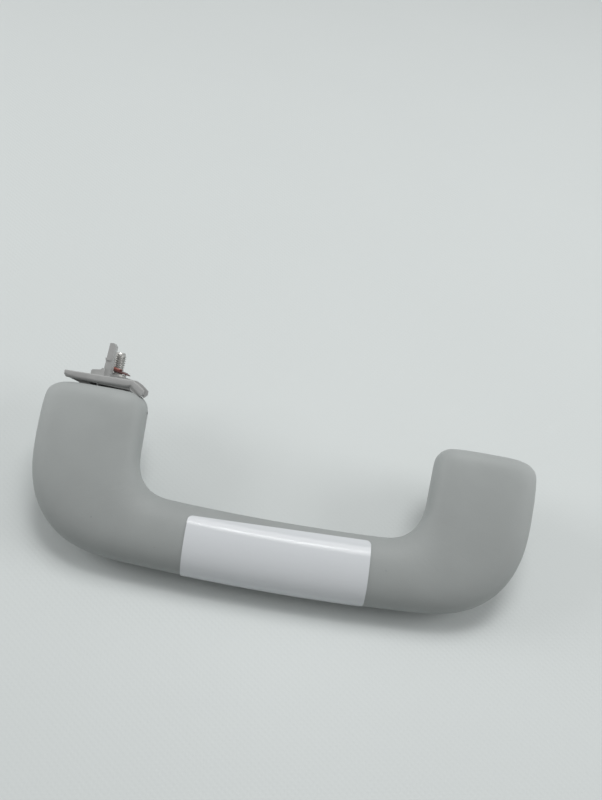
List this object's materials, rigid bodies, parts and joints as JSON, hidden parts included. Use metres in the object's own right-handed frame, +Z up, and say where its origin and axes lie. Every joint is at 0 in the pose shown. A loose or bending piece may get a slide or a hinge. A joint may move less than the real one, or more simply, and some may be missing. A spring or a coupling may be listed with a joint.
{
  "type": "vehicle roof grab handle",
  "caption": "U-shaped moulded roof grab handle with a hinged bolt-on bracket at each leg end, one swung out, one shut.",
  "frame": {"origin": "under the middle of the bounding box, on the table it lies on", "axes": "+X along the grip to the right as pictured, +Y away from the viewer towards the leg ends, +Z up. The handle lies on the grip's back edge and on the shut right bracket, so its own plane leans by 25.2 degrees with the leg ends up"},
  "size_m": [0.2143, 0.0906, 0.0466],
  "materials": {
    "handle_plastic": "fine moulded grain, matte light grey",
    "label_film": "glossy white film, bare",
    "bracket_plastic": "plain moulded grey, slightly shiny",
    "bolt_steel": "zinc plated",
    "pin_steel": "ground",
    "spring_steel": "drawn wire",
    "retainer_plastic": "translucent red washer",
    "damper_plastic": "black"
  },
  "bodies": {
    "grip": {"handle_body": "handle_plastic", "label": "label_film", "left_hinge_pin": "pin_steel", "right_hinge_pin": "pin_steel", "damper_housing": "damper_plastic", "spring_bush": "damper_plastic", "return_spring": "spring_steel"},
    "left_mount": {"left_bracket": "bracket_plastic", "left_bolt": "bolt_steel", "left_bolt_sleeve": "bolt_steel", "left_bolt_retainer": "retainer_plastic", "left_screw_cap": "bracket_plastic", "damper_rotor": "damper_plastic"},
    "right_mount": {"right_bracket": "bracket_plastic", "right_bolt": "bolt_steel", "right_bolt_sleeve": "bolt_steel", "right_bolt_retainer": "retainer_plastic", "right_screw_cap": "bracket_plastic"}
  },
  "joints": [
    {"name": "left_hinge", "type": "hinge", "parent": "grip", "child": "left_mount", "pos_m": [-0.0831, 0.01513, 0.03031], "axis": [1, 0, 0], "range_deg": [-101, 0]},
    {"name": "right_hinge", "type": "hinge", "parent": "grip", "child": "right_mount", "pos_m": [0.0831, 0.01513, 0.03031], "axis": [1, 0, 0], "range_deg": [0, 101], "stiffness_Nm_per_rad": 0.05, "springref_deg": -57.3, "deforming": ["return_spring"]}
  ]
}
